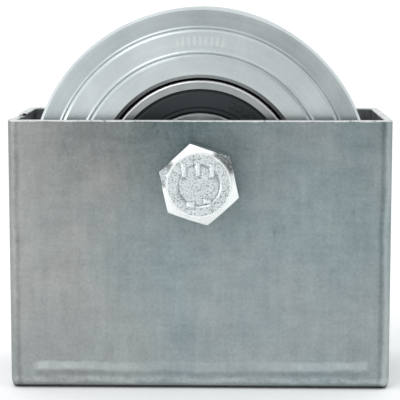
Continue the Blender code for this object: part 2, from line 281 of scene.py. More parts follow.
class Look:
    """A material in the making. Lengths in its textures are in metres, in the piece's own coordinates."""

    def __init__(self, name, metallic, roughness, colour):
        self.material = bpy.data.materials.new(name)
        self.material.use_nodes = True
        self.tree = self.material.node_tree
        self.shader = self.tree.nodes["Principled BSDF"]
        self.shader.inputs["Metallic"].default_value = metallic
        self.shader.inputs["Roughness"].default_value = roughness
        self.shader.inputs["Base Color"].default_value = (*colour, 1)
        self.position = self.tree.nodes.new("ShaderNodeTexCoord").outputs["Object"]
        split = self.node("ShaderNodeSeparateXYZ", {0: self.position})
        self.x, self.y, self.z = split.outputs

    def node(self, kind, inputs, **settings):
        return add_node(self.tree, kind, inputs, **settings)

    def math(self, operation, a, b=0.0, clamp=False):
        made = self.node("ShaderNodeMath", {0: a, 1: b}, operation=operation, use_clamp=clamp)
        return made.outputs[0]

    def plus(self, a, b):
        return self.math("ADD", a, b)

    def minus(self, a, b):
        return self.math("SUBTRACT", a, b)

    def times(self, *factors):
        product = factors[0]
        for factor in factors[1:]:
            product = self.math("MULTIPLY", product, factor)
        return product

    def greater(self, a, b):
        return self.math("MAXIMUM", a, b)

    def absolute(self, a):
        return self.math("ABSOLUTE", a)

    def radius(self):
        """Distance from the Y axis."""
        return self.math("SQRT", self.plus(self.times(self.x, self.x), self.times(self.z, self.z)))

    def section(self, radius, y):
        """Coordinates that are the same all the way round the axle, for turning marks."""
        return self.node("ShaderNodeCombineXYZ", {0: radius, 1: y}).outputs[0]

    def stretched(self, scale):
        return self.node("ShaderNodeMapping", {"Vector": self.position, "Scale": scale}).outputs[0]

    def noise(self, size, detail=4.0, roughness=0.55, distortion=0.0, vector=None):
        """Noise whose largest features are about size across."""
        inputs = {"Vector": vector or self.position, "Scale": 1 / size, "Detail": detail}
        inputs.update({"Roughness": roughness, "Distortion": distortion})
        return self.node("ShaderNodeTexNoise", inputs).outputs["Fac"]

    def step(self, value, low, high):
        """0 below low, 1 above high, smooth between. low may be the greater."""
        inputs = {"Value": value, "From Min": low, "From Max": high}
        return self.node("ShaderNodeMapRange", inputs, interpolation_type="SMOOTHSTEP").outputs[0]

    def band(self, value, low, high, soft):
        """1 between low and high, fading over soft at both ends."""
        rise = self.step(value, low - soft, low + soft)
        return self.times(rise, self.step(value, high + soft, high - soft))

    def remap(self, value, low, high, to_low, to_high):
        inputs = {"Value": value, "From Min": low, "From Max": high, "To Min": to_low, "To Max": to_high}
        return self.node("ShaderNodeMapRange", inputs).outputs[0]

    def spread(self, texture, low, high):
        """A noise texture's usual range, as low to high."""
        return self.remap(texture, 0.3, 0.7, low, high)

    def swing(self, texture, reach):
        """A noise texture's usual range, as -reach to reach."""
        return self.spread(texture, -reach, reach)

    def mix(self, factor, a, b):
        """a and b are (r, g, b), or another node's output. Inputs 6 and 7 are the node's two colours."""
        a, b = [(*colour, 1) if isinstance(colour, tuple) else colour for colour in (a, b)]
        inputs = {0: factor, 6: a, 7: b}
        return self.node("ShaderNodeMix", inputs, data_type="RGBA", clamp_factor=True).outputs[2]

    def colour(self, socket):
        self.tree.links.new(socket, self.shader.inputs["Base Color"])

    def rough(self, socket):
        self.tree.links.new(socket, self.shader.inputs["Roughness"])

    def bump(self, height, distance, strength=1.0):
        """Relief of height, from 0 to 1, times distance, on top of the bumps made before it."""
        inputs = {"Strength": strength, "Distance": distance, "Height": height}
        before = self.shader.inputs["Normal"].links
        if before:
            inputs["Normal"] = before[0].from_socket
        made = self.node("ShaderNodeBump", inputs)
        self.tree.links.new(made.outputs[0], self.shader.inputs["Normal"])


def box_steel():
    """Zinc-coated sheet, cloudy, with the marks that the press leaves along the bottom bend, and with painted
    light and shade: on the face, inside the box, along the base, on the top edge and in the open seam.
    """
    look = Look("cloudy zinc sheet", 0.85, 0.45, (0.3, 0.32, 0.32))
    clouds = look.noise(30 * MM, 3, 0.5, 0.4)
    mottle = look.noise(6 * MM, 6, 0.65, 0.4)
    grain = look.noise(0.8 * MM, 3, 0.7)
    marks = press_marks(look)
    base = flat_sheet(look, clouds, mottle, grain, marks["tone"])
    # Painted shadow along the base, under the bottom bend.
    base = look.mix(look.times(marks["painted_foot_shadow"], 0.8), base, (0.02, 0.022, 0.022))
    base = painted_inside_shade_and_heat_tint(look, base, mottle)
    base = bare_edge_and_highlight(look, base, mottle, grain)
    # At the left end the weld stops short of the top, and the open seam there gets a painted shadow.
    root = look.times(look.band(look.y, -0.3 * MM, 0.3 * MM, 0.1 * MM), look.step(look.x, 0, -1 * MM))
    look.colour(look.mix(root, base, (0.03, 0.03, 0.03)))
    look.rough(look.minus(look.spread(mottle, 0.42, 0.56), look.times(marks["shine"], 0.16)))
    look.bump(mottle, 0.03 * MM, 0.5)
    look.bump(grain, 0.012 * MM, 0.6)
    return look.material


def flat_sheet(look, clouds, mottle, grain, marks):
    """Mottled cool grey, warmer to the left, with smudges and short upright scratches."""
    upright = look.noise(2.2 * MM, 4, 0.6, vector=look.stretched((1, 1, 0.1)))
    lying = look.noise(1.6 * MM, 4, 0.6, vector=look.stretched((0.12, 0.12, 1)))
    tone = look.swing(clouds, 0.08)
    for texture, depth in ((mottle, 0.13), (grain, 0.1), (upright, 0.055), (lying, 0.04)):
        tone = look.plus(tone, look.remap(texture, 0.25, 0.75, -depth, depth))
    tone = look.plus(tone, sheet_shading(look))
    smudges = look.step(look.noise(5 * MM, 7, 0.72, 1.2), 0.6, 0.7)
    tone = look.minus(tone, look.times(smudges, 0.1))
    scratches = look.noise(1.3 * MM, 3, 0.6, 0.6, look.stretched((1, 1, 0.25)))
    tone = look.minus(tone, look.times(look.step(scratches, 0.68, 0.75), 0.13))
    level = look.math("ADD", look.plus(tone, marks), 0.56, clamp=True)
    cool = look.mix(level, (0.085, 0.122, 0.127), (0.455, 0.52, 0.53))
    warm = look.mix(level, (0.12, 0.124, 0.12), (0.49, 0.50, 0.49))
    warmth = look.remap(look.x, -34 * MM, -6 * MM, 1.0, 0.12)
    return look.mix(look.plus(warmth, look.remap(clouds, 0.35, 0.65, -0.3, 0.3)), cool, warm)


def sheet_shading(look):
    """Broad tones: painted shade round the bolt, painted light to the left, darker towards the top and the
    right end, lighter towards the bottom, and painted shade and a painted highlight along the bends.
    """
    # Painted shade round the bolt, over the upper part of the face.
    across = look.math("POWER", look.math("DIVIDE", look.plus(look.x, 9 * MM), 27 * MM), 2)
    painted_shade_near_bolt = look.math("EXPONENT", look.times(across, -1))
    tone = look.times(painted_shade_near_bolt, look.step(look.z, 22 * MM, 70 * MM), -0.29)
    # Painted light to the left.
    tone = look.plus(tone, look.remap(look.x, -48 * MM, 0, 0.07, 0))
    tone = look.plus(tone, look.remap(look.z, 14 * MM, 4 * MM, 0, 0.07))
    tone = look.minus(tone, look.times(look.step(look.x, 30 * MM, 48 * MM), 0.08))
    tone = look.minus(tone, look.times(look.step(look.z, 45 * MM, 72 * MM), 0.14))
    # Painted shade down both bends, and a painted highlight along the outer part of the right bend.
    place = look.plus(look.x, look.swing(look.noise(10 * MM, 3, 0.6), 0.35 * MM))
    end = BOX_HALF_LENGTH
    painted_bend_tones = (
        (-end - 1 * MM, -end + 2.9 * MM, -0.2),
        (-end + 1.7 * MM, -end + 2.9 * MM, -0.1),
        (end - 3.3 * MM, end - 2.3 * MM, -0.2),
        (end - 1.9 * MM, end - 0.7 * MM, 0.26),
    )
    on_front_or_back = look.step(look.absolute(look.y), BOX_HALF_DEPTH - BEND_RADIUS, BOX_HALF_DEPTH - SHEET)
    for low, high, depth in painted_bend_tones:
        band = look.times(look.band(place, low, high, 0.6 * MM), on_front_or_back)
        tone = look.plus(tone, look.times(band, depth))
    return tone


def press_marks(look):
    """A burnished stripe above the bottom bend, a dull one under it, the bend's own pale stripe, and a
    painted shadow line along the base.
    """
    broken = look.noise(5 * MM, 4, 0.6)
    wander = look.swing(look.noise(7 * MM, 3, 0.6), 0.45 * MM)
    gritty = look.noise(0.9 * MM, 4, 0.7)
    height = look.plus(look.z, wander)
    in_span = look.band(look.plus(look.x, wander), *STRIPE_SPAN, 1.2 * MM)
    burnished = look.times(look.band(height, *BURNISHED_STRIPE, 0.5 * MM), in_span)
    dull = look.times(look.band(height, *DULL_STRIPE, 0.4 * MM), in_span)
    pale = look.band(height, *PALE_STRIPE, 0.35 * MM)
    # The burnished stripe is strongest near its ends, and most at the left one.
    ends = look.step(look.absolute(look.plus(look.x, 2 * MM)), 12 * MM, 38 * MM)
    ends = look.plus(look.remap(ends, 0, 1, 0.08, 0.3), look.remap(look.x, -10 * MM, -36 * MM, 0, 0.16))
    strength = look.times(ends, look.remap(broken, 0.3, 0.65, 0.35, 1.15))
    tone = look.minus(look.times(burnished, strength), look.times(dull, 0.15))
    tone = look.plus(tone, look.times(pale, look.remap(broken, 0.35, 0.65, 0.06, 0.42)))
    tone = look.plus(tone, look.times(pale, look.swing(gritty, 0.22)))
    # The last mask is a painted shadow line along the base.
    return {"tone": tone, "shine": burnished, "painted_foot_shadow": look.step(look.z, SHADOW_LINE_HEIGHT, SHADOW_LINE_HEIGHT / 2)}


def painted_inside_shade_and_heat_tint(look, base, mottle):
    """The hollow inside the box gets painted shade, and the weld's heat has tinted the sheet beside it."""
    # Painted shade over the whole inside of the box.
    deep = look.step(look.absolute(look.y), BOX_HALF_DEPTH - INSIDE_STARTS, BOX_HALF_DEPTH - INSIDE_FULL)
    between = look.step(look.absolute(look.x), BOX_HALF_LENGTH - INSIDE_STARTS, BOX_HALF_LENGTH - INSIDE_FULL)
    inside = look.times(deep, look.step(look.z, 1.8 * MM, INSIDE_FULL), between)
    painted_inside_shade = look.mix(look.remap(mottle, 0.32, 0.68, 0, 1), (0.035, 0.037, 0.038), (0.25, 0.26, 0.26))
    base = look.mix(inside, base, painted_inside_shade)
    from_seam = look.absolute(look.plus(look.y, look.swing(mottle, 1 * MM)))
    heat = look.step(from_seam, 4.5 * MM, 1.5 * MM)
    return look.mix(look.times(heat, 0.45), base, (0.20, 0.175, 0.14))


def bare_edge_and_highlight(look, base, mottle, grain):
    """The top edge is bare steel, painted bright as a highlight, apart from a few nicks."""
    # Bare steel along the top edge, painted bright as a highlight.
    ragged = look.plus(look.z, look.swing(mottle, 0.12 * MM))
    whole = look.step(look.noise(2.2 * MM, 3, 0.6), 0.32, 0.42)
    bare_and_highlit = look.times(look.step(ragged, BOX_HEIGHT - 0.42 * MM, BOX_HEIGHT - 0.3 * MM), whole)
    return look.mix(bare_and_highlit, base, look.mix(grain, (0.38, 0.39, 0.39), (0.86, 0.87, 0.86)))


def weld_steel():
    """Speckled grey with a heat tint, and dark scale along both toes and between the ripples."""
    look = Look("weld bead", 0.85, 0.5, (0.3, 0.3, 0.3))
    speckle = look.noise(0.7 * MM, 4, 0.7)
    heat = look.noise(9 * MM, 2, 0.5)
    grey = look.mix(speckle, (0.10, 0.11, 0.12), (0.58, 0.6, 0.6))
    grey = look.mix(look.times(heat, 0.2), grey, (0.30, 0.26, 0.21))
    toes = look.times(look.step(look.absolute(look.y), 0.75 * MM, 1.05 * MM), 0.7)
    valley = look.math("SINE", look.times(look.z, 2 * math.pi / RIPPLE_PITCH))
    valley = look.times(look.step(valley, -0.1, -0.9), 0.5)
    look.colour(look.mix(look.greater(toes, valley), grey, (0.05, 0.05, 0.05)))
    look.rough(look.spread(speckle, 0.35, 0.6))
    look.bump(speckle, 0.05 * MM)
    return look.material


def wheel_zinc():
    """Turned and zinc plated: fine rings round the axle, soft clouds, a row of plain etched ticks, and
    painted light and shade.
    """
    look = Look("turned zinc", 0.92, 0.3, (0.6, 0.63, 0.64))
    radius = look.radius()
    along = look.section(radius, look.times(look.y, 0.3))
    turning = look.noise(0.22 * MM, 3, 0.7, vector=along)
    broad = look.noise(1.6 * MM, 2, 0.5, vector=along)
    clouds = look.noise(18 * MM, 3, 0.5, 0.5)
    speckle = look.noise(0.8 * MM, 2, 0.6)
    tone = look.swing(clouds, 0.10)
    tone = look.plus(tone, look.swing(broad, 0.05))
    tone = look.plus(tone, look.swing(speckle, 0.03))
    # Painted shade on the outer band, and a painted highlight on its outer edge.
    tone = look.minus(tone, look.times(look.step(radius, 39.0 * MM, 40.2 * MM), 0.2))
    edge = look.times(look.step(radius, 44.15 * MM, 44.35 * MM), 0.22)
    level = look.math("ADD", look.plus(tone, 0.50), edge, clamp=True)
    base = look.mix(level, (0.30, 0.335, 0.345), (0.80, 0.845, 0.85))
    ticks = etched_ticks(look, radius)
    base = look.mix(look.times(ticks, 0.3), base, (0.80, 0.82, 0.80))
    # Painted shade in the clearance round the bearings, and a little on the bore's mouth.
    in_bore = look.step(radius, WHEEL_BORE_RADIUS + 0.05 * MM, WHEEL_BORE_RADIUS)
    below_face = look.step(look.absolute(look.y), 16.4 * MM, 16.25 * MM)
    on_mouth = look.step(radius, WHEEL_MOUTH_RADIUS, WHEEL_MOUTH_RADIUS - 0.15 * MM)
    painted_gap_shade = look.greater(look.times(in_bore, below_face), look.times(on_mouth, 0.3))
    look.colour(look.mix(painted_gap_shade, base, (0.015, 0.016, 0.017)))
    look.rough(look.plus(look.spread(clouds, 0.27, 0.37), look.times(ticks, 0.2)))
    look.bump(turning, 0.006 * MM, 0.6)
    look.bump(speckle, 0.006 * MM, 0.4)
    # The turning marks run round the axle, so reflections spread along the radius.
    look.shader.inputs["Anisotropic"].default_value = 0.6
    look.shader.inputs["Anisotropic Rotation"].default_value = 0.25
    tangent = look.node("ShaderNodeTangent", {}, direction_type="RADIAL", axis="Y")
    look.tree.links.new(tangent.outputs[0], look.shader.inputs["Tangent"])
    return look.material


def etched_ticks(look, radius):
    """Evenly spaced ticks on the front face's middle band, over a short arc at the top of the wheel."""
    angle = look.math("ARCTAN2", look.x, look.z)
    cell = look.math("FRACT", look.plus(look.times(angle, TICKS_PER_RADIAN), 0.5))
    arc = look.band(angle, -TICKS_HALF_ARC, TICKS_HALF_ARC, 0.004)
    ticks = look.times(look.band(cell, 0.28, 0.72, 0.05), arc, look.band(radius, *TICK_RADII, 0.06 * MM))
    return look.times(ticks, look.step(look.y, -16 * MM, -16.2 * MM))


def bolt_zinc(name, dark, light):
    """Galvanised, pitted zinc. On the bolt's head it is darker in its hollows, its bars and edges are worn
    bright with a painted highlight on the edges and chamfer, and two corners get a painted dark reflection.
    """
    look = Look(name, 1.0, 0.22, light)
    radius = look.radius()
    pebbles = look.noise(0.45 * MM, 3, 0.65)
    patches = look.noise(2.5 * MM, 3, 0.6)
    pits = look.step(look.noise(0.35 * MM, 2, 0.5), 0.46, 0.37)
    base = look.mix(patches, dark, light)
    base = look.mix(look.times(pits, 0.75), base, (0.11, 0.14, 0.15))
    # The head's face: darker in its hollows, bars worn bright, and edges worn bright with a painted highlight
    # over them and the chamfer.
    on_head = look.step(look.y, -5 * MM, -5.4 * MM)
    recess = -HEAD_HEIGHT + RECESS_DEPTH
    low = look.step(look.y, recess + 0.02 * MM, recess + 0.1 * MM)
    on_face = look.times(on_head, look.step(radius, 7.6 * MM, 7.4 * MM))
    base = look.mix(look.times(low, on_face, 0.5), base, (0.15, 0.18, 0.19))
    high = look.step(look.y, -HEAD_HEIGHT - 0.06 * MM, -HEAD_HEIGHT - 0.16 * MM)
    edge = look.band(radius, HEAD_FACE_RADIUS - 0.35 * MM, HEAD_FACE_RADIUS, 0.12 * MM)
    chamfer = look.step(radius, HEAD_FACE_RADIUS - 0.1 * MM, HEAD_FACE_RADIUS + 0.25 * MM)
    bright = look.greater(look.times(high, 0.6), look.times(look.greater(edge, chamfer), on_head))
    smooth = look.mix(patches, (0.86, 0.88, 0.88), (0.97, 0.98, 0.98))
    base = look.mix(look.times(bright, 0.85), base, smooth)
    # Two of its corners get a painted dark reflection.
    painted_dark_reflection = look.mix(look.step(pebbles, 0.5, 0.72), (0.05, 0.06, 0.065), (0.5, 0.54, 0.54))
    corners = 0.0
    for degrees in PAINTED_REFLECTION_CORNERS:
        across = look.times(look.x, math.cos(math.radians(degrees)))
        towards = look.plus(across, look.times(look.z, math.sin(math.radians(degrees))))
        corners = look.greater(corners, look.step(look.math("DIVIDE", towards, radius), 0.89, 0.96))
    look.colour(look.mix(look.times(chamfer, on_head, corners, 0.85), base, painted_dark_reflection))
    look.rough(look.spread(pebbles, 0.2, 0.36))
    look.bump(pebbles, 0.012 * MM, 0.7)
    return look.material


def bearing_steel():
    """Ground steel with faint stains, and a painted highlight on the outer ring's rim."""
    look = Look("ground bearing steel", 1.0, 0.25, (0.6, 0.6, 0.61))
    radius = look.radius()
    grinding = look.noise(0.12 * MM, 3, 0.7, vector=look.section(radius, look.y))
    stains = look.noise(4 * MM, 4, 0.6, 0.3)
    grit = look.noise(0.5 * MM, 3, 0.7)
    tone = look.times(look.plus(stains, look.times(grit, 0.6)), 0.62)
    base = look.mix(tone, (0.22, 0.232, 0.236), (0.46, 0.485, 0.49))
    # Painted highlight on the outer ring's rounded rim.
    painted_rim_highlight = look.times(look.step(radius, 25.3 * MM, 25.5 * MM), 0.8)
    look.colour(look.mix(painted_rim_highlight, base, (0.92, 0.92, 0.93)))
    look.rough(look.spread(stains, 0.24, 0.38))
    look.bump(grinding, 0.002 * MM, 0.4)
    look.bump(grit, 0.004 * MM, 0.3)
    return look.material


def seal_rubber():
    """Black rubber with a soft haze, and painted shade at its outer bead, beside the outer ring."""
    look = Look("seal rubber", 0.0, 0.5, (0.03, 0.035, 0.036))
    haze = look.noise(5 * MM, 3, 0.5, 0.4)
    grain = look.noise(0.35 * MM, 3, 0.6)
    base = look.mix(haze, (0.010, 0.016, 0.018), (0.021, 0.031, 0.034))
    # Painted shade on the outer bead, in the crease beside the outer ring.
    edge = look.step(look.radius(), 22.6 * MM, 23.2 * MM)
    look.colour(look.mix(look.times(edge, 0.6), base, (0.010, 0.012, 0.012)))
    look.rough(look.spread(haze, 0.42, 0.56))
    look.bump(grain, 0.01 * MM, 0.5)
    look.shader.inputs["Specular IOR Level"].default_value = 0.38
    return look.material


def spacer_steel():
    """Turned steel with fine rings and faint stains."""
    look = Look("turned spacer steel", 1.0, 0.35, (0.4, 0.4, 0.4))
    turning = look.noise(0.25 * MM, 3, 0.7, vector=look.section(look.radius(), look.y))
    stains = look.noise(5 * MM, 3, 0.6)
    look.colour(look.mix(stains, (0.30, 0.30, 0.30), (0.52, 0.52, 0.51)))
    look.rough(look.spread(turning, 0.28, 0.45))
    look.bump(turning, 0.01 * MM)
    return look.material


def nylon(name, dark, light):
    """Moulded nylon with a soft haze and a fine grain."""
    look = Look(name, 0.0, 0.45, light)
    haze = look.noise(3 * MM, 3, 0.5)
    grain = look.noise(0.3 * MM, 2, 0.5)
    look.colour(look.mix(haze, dark, light))
    look.rough(look.spread(grain, 0.38, 0.52))
    look.bump(grain, 0.01 * MM, 0.4)
    return look.material


def pale_floor():
    look = Look("pale floor", 0.0, 0.8, (0.9, 0.9, 0.9))
    haze = look.noise(0.4, 2, 0.5)
    look.colour(look.mix(haze, (0.93, 0.93, 0.93), (0.96, 0.96, 0.96)))
    look.shader.inputs["Specular IOR Level"].default_value = 0.1
    return look.material


# ---------------------------------------------------------------- the box

def box_outline(inset, corner_in, corner_up, tops, steps):
    """The box from the front, open at the top: (x, z) from the top left, down and round."""
    side = BOX_HALF_LENGTH - inset
    lower = []
    for i in range(steps + 1):
        a = math.pi / 2 * i / steps
        lower.append((-side + corner_in * (1 - math.cos(a)), inset + corner_up * (1 - math.sin(a))))
    return [(-side, tops[0])] + lower + [(-x, z) for x, z in reversed(lower)] + [(side, tops[1])]


def outer_outline(inset, tops, steps=10):
    """The outer surface's outline, its corners tighter the further in it lies."""
    tighter = inset / BEND_RADIUS
    corner_in = CORNER_IN * (1 - 0.7 * tighter)
    corner_up = CORNER_UP * (1 - 0.8 * tighter)
    return box_outline(inset, corner_in, corner_up, tops, steps)


def inner_outline(inset, tops, steps=10):
    tighter = (inset - SHEET) / (BEND_RADIUS - SHEET)
    corner_in = INNER_CORNER_IN * (1 - 0.5 * tighter)
    corner_up = INNER_CORNER_UP * (1 - 0.5 * tighter)
    return box_outline(inset, corner_in, corner_up, tops, steps)


def shell_sections(side, edge, bend_steps=10):
    """(outer outline, y, inner outline, y) from the seam to the flat wall.

    The front half dips to the seam at the left end.
    """
    # How far the top edge has dropped at the seam, at the left end and at the right one.
    drops = (0.6 * MM if side < 0 else 0.0, 0.1 * MM)
    sections = []
    for share in (0, 0.06, 0.15, 0.28, 0.45, 0.7, 1.0):
        off = SEAM_BEVEL * share
        rounding = 0.12 * MM * (1 - math.sqrt(1 - (1 - share) ** 2))
        tops = [BOX_HEIGHT - edge - drop - rounding for drop in drops]
        y = SEAM_HALF_GAP + off
        sections.append((outer_outline(SEAM_BEVEL - off, tops), y, inner_outline(SHEET, tops), y))
    tops = [BOX_HEIGHT - edge] * 2
    inner_bend = BEND_RADIUS - SHEET
    for step in range(bend_steps + 1):
        a = math.pi / 2 * step / bend_steps
        outer = outer_outline(BEND_RADIUS * (1 - math.cos(a)), tops)
        inner = inner_outline(SHEET + inner_bend * (1 - math.cos(a)), tops)
        outer_y = BOX_HALF_DEPTH - BEND_RADIUS * (1 - math.sin(a))
        inner_y = BOX_HALF_DEPTH - SHEET - inner_bend * (1 - math.sin(a))
        sections.append((outer, outer_y, inner, inner_y))
    return sections


def bridge(bm, rows, closed=False):
    """Quads between each row of points and the next."""
    for one, other in zip(rows, rows[1:]):
        for k in range(len(one) if closed else len(one) - 1):
            j = (k + 1) % len(one)
            bm.faces.new((one[k], one[j], other[j], other[k]))


def shell(side, name, look, edge=0.35 * MM):
    """One half of the box, its top edge rounded, its seam edge bevelled and its bolt hole cut."""
    bm = bmesh.new()

    def loop(points, y):
        return [bm.verts.new((x, side * y, z)) for x, z in points]

    sections = shell_sections(side, edge)
    outers = [loop(outer, y) for outer, y, _, _ in sections]
    inners = [loop(inner, y) for _, _, inner, y in sections]
    for loops in (outers, inners):
        bridge(bm, loops)
        bm.faces.new(loops[-1])
    # The top edge: rows from the outer surface over to the inner one, round the whole half.
    columns = [(o[0], i[0]) for o, i in zip(outers, inners)]
    columns += [(o[-1], i[-1]) for o, i in zip(reversed(outers), reversed(inners))]
    turns = [math.pi / 2 * k / 4 for k in range(1, 5)]
    profile = [(edge * (1 - math.cos(a)), edge * math.sin(a)) for a in turns]
    grid = []
    for start, end in columns:
        across = end.co - start.co
        thick = across.length
        rise = profile + [(thick - d, h) for d, h in reversed(profile)]
        middle = [bm.verts.new(start.co + across * (d / thick) + Vector((0, 0, h))) for d, h in rise]
        grid.append([start] + middle + [end])
    bridge(bm, grid)
    # The seam's edge: a strip down one end, along the base and up the other.
    count = len(outers[0])
    bm.faces.new([outers[0][1]] + grid[0] + [inners[0][1]])
    bm.faces.new([outers[0][count - 2]] + grid[-1] + [inners[0][count - 2]])
    for i in range(1, count - 2):
        bm.faces.new((outers[0][i], outers[0][i + 1], inners[0][i + 1], inners[0][i]))
    made = finish_mesh(bm, name, look, "housing", [name])
    reach = 50 * MM
    hole = lathe([(0, -reach), (BOLT_HOLE_RADIUS, -reach), (BOLT_HOLE_RADIUS, reach), (0, reach)], 64)
    bmesh.ops.translate(hole, verts=hole.verts, vec=AXLE)
    cut(made, hole)
    return made


def weld(look):
    """A bead in the seam's groove: rippled up both ends, and flush with the base below."""
    path = outer_outline(0, [BOX_HEIGHT - 1.5 * MM, BOX_HEIGHT - 0.35 * MM], 12)
    dense = []
    for (x0, z0), (x1, z1) in zip(path, path[1:]):
        parts = max(1, round(math.hypot(x1 - x0, z1 - z0) / WELD_STEP))
        dense += [Vector((x0 + (x1 - x0) * k / parts, z0 + (z1 - z0) * k / parts)) for k in range(parts)]
    dense.append(Vector(path[-1]))
    spread = [-1, -0.85, -0.6, -0.3, 0, 0.3, 0.6, 0.85, 1]
    bm = bmesh.new()
    sections = []
    for i, point in enumerate(dense):
        along = (dense[min(i + 1, len(dense) - 1)] - dense[max(i - 1, 0)]).normalized()
        inward = Vector((-along.y, along.x))
        wall = min(1, max(0, (point.y - CORNER_UP) / (3 * MM)))
        crown = 0.28 * MM * wall
        section = []
        for share in spread:
            rough = noise.noise(Vector((point.x, share * SEAM_BEVEL, point.y)) / (0.9 * MM))
            ripple = math.sin(2 * math.pi * point.y / RIPPLE_PITCH - 2.2 * share * share)
            proud = (crown + (0.09 * ripple + 0.07 * rough) * MM * wall) * (1 - share * share)
            sunk = 0.03 * MM * (1 - wall) * (1 - share * share) * abs(rough)
            place = point - inward * (proud - sunk)
            section.append(bm.verts.new((place.x, share * SEAM_BEVEL, place.y)))
        root = point + inward * (SEAM_BEVEL - 0.1 * MM)
        section.append(bm.verts.new((root.x, 0, root.y)))
        sections.append(section)
    bridge(bm, sections, closed=True)
    bm.faces.new(sections[0])
    bm.faces.new(sections[-1])
    return finish_mesh(bm, "seam_weld_bead", look, "housing", ["seam_weld"], sharp=60)


# ---------------------------------------------------------------- the wheel and its bearings

def wheel(look):
    """Turned steps on both faces: a proud hub, a fine double bead, a middle band, a bead, and the rim."""
    bore = WHEEL_BORE_RADIUS / MM
    mouth = WHEEL_MOUTH_RADIUS / MM
    half = [
        (22.5, 0.7, 0.15),
        (26.1, 0.7, 0.1),
        (26.1, 13.4, 0.1),
        (bore, 13.8, 0.1),
        (bore, 16.4, 0.08),
        (mouth, 17.0, 0.08),
        (32.1, 17.0, 0.12),
        (32.7, 16.78, 0.06),
        (32.92, 16.5, 0.04),
        (33.12, 16.8, 0.05),
        (33.4, 16.76, 0.08),
        (33.8, 16.5, 0.12),
        (38.55, 16.46, 0.15),
        (39.1, 16.14, 0.1),
        (39.32, 16.13, 0.04),
        (39.45, 15.9, 0.03),
        (39.58, 16.12, 0.04),
        (39.7, 16.1, 0.06),
        (40.15, 15.86, 0.15),
        (44.25, 15.52, 0.06),
        (44.95, 14.82, 0.12),
        (44.99, 10.4, 0.35),
    ]
    outline = rounded(mirrored(half), 4)
    groove = []
    for i in range(1, 40):
        a = math.pi * i / 40
        groove.append((WHEEL_RADIUS - GROOVE_RADIUS * math.sin(a), GROOVE_RADIUS * math.cos(a)))
    # The groove goes into the outline after the last point of the +y half.
    split = max(i for i, (r, y) in enumerate(outline) if y > 0 and r > 30 * MM)
    outline = outline[:split + 1] + groove + outline[split + 1:]
    bm = lathe(outline, 288)
    return finish_mesh(bm, "grooved_wheel", look, "wheel_assembly", ["wheel"], AXLE)


def race_arc(outside, steps=24):
    """A raceway between its shoulders, from +y to -y."""
    shoulder = OUTER_SHOULDER if outside else INNER_SHOULDER
    start = math.acos(abs(shoulder - PITCH_RADIUS) / RACE_RADIUS)
    way = 1 if outside else -1
    angles = [start * (1 - 2 * i / steps) for i in range(steps + 1)]
    return [(PITCH_RADIUS + way * RACE_RADIUS * math.cos(a), RACE_RADIUS * math.sin(a)) for a in angles]


def ring_outline(half, outside):
    """A bearing ring's section: its half outline, the raceway, and the mirror image."""
    # The two corners on the middle plane only give the rounding its directions, and are dropped again.
    top = rounded(half + [(half[-1][0], 0, 0), (half[0][0], 0, 0)], 4)[:-2]
    return top + race_arc(outside) + [(r, -y) for r, y in reversed(top)]


def bearing(side, name, looks):
    """side is -1 at the front. The crown cage's closed side faces the wheel's middle."""
    centre = AXLE + Vector((0, side * BEARING_CENTRE, 0))
    prefix = name + "_bearing_"
    outer_half = [
        (26.0, 6.9, 0.1), (25.97, 7.2, 0.08), (25.45, 7.5, 0.1), (23.6, 7.5, 0.1), (23.55, 5.6, 0.1),
        (21.7, 5.6, 0.1),
    ]
    outer = lathe(ring_outline(outer_half, True), 216)
    finish_mesh(outer, prefix + "outer_race", looks["steel"], "wheel_assembly", [prefix + "outer_ring"],
                centre)
    inner_half = [(12.5, 7.0, 0.1), (13.0, 7.5, 0.1), (16.85, 7.5, 0.12), (17.3, 7.05, 0.12)]
    inner = lathe(ring_outline(inner_half, False), 180)
    finish_mesh(inner, prefix + "inner_race", looks["steel"], "housing", [prefix + "inner_ring"],
                centre)
    for place, facing in (("outboard", side), ("inboard", -side)):
        seal(prefix, place, facing, centre, looks["rubber"])
    cage(side, name, prefix, centre, looks["cage"])
    for number in range(BALLS):
        bm = bmesh.new()
        bmesh.ops.create_uvsphere(bm, u_segments=32, v_segments=16, radius=BALL_RADIUS)
        place = centre + ball_place(number)
        node = f"{prefix}ball_{number + 1}"
        finish_mesh(bm, node + "_polished", looks["steel"], name + "_cage", [node],
                    place, 60)


def ball_place(number):
    """A ball's centre, from its bearing's."""
    angle = 2 * math.pi * number / BALLS
    return Vector((math.cos(angle), 0, math.sin(angle))) * PITCH_RADIUS


def seal(prefix, place, facing, centre, look):
    """A moulded rubber seal: outer bead, flat with raised dashes, and the lip on the inner ring."""
    corners = [
        (17.5, 5.9, 0.1), (23.45, 5.9, 0.1), (23.45, 7.15, 0.1), (23.25, 7.25, 0.08), (23.0, 7.0, 0.1),
        (22.75, 7.0, 0.1), (22.5, 7.15, 0.1), (18.95, 7.05, 0.1), (18.65, 6.75, 0.08), (18.4, 6.75, 0.08),
        (18.2, 7.0, 0.1), (17.85, 7.0, 0.12), (17.42, 6.5, 0.05),
    ]
    outline = [(r, facing * y) for r, y in rounded(corners, 3)]
    name = f"{prefix}{place}_seal"
    finish_mesh(lathe(outline, 180), name + "_moulded", look, "wheel_assembly", [name], centre)
    if place == "outboard":
        seal_dashes(name, facing, centre, look)


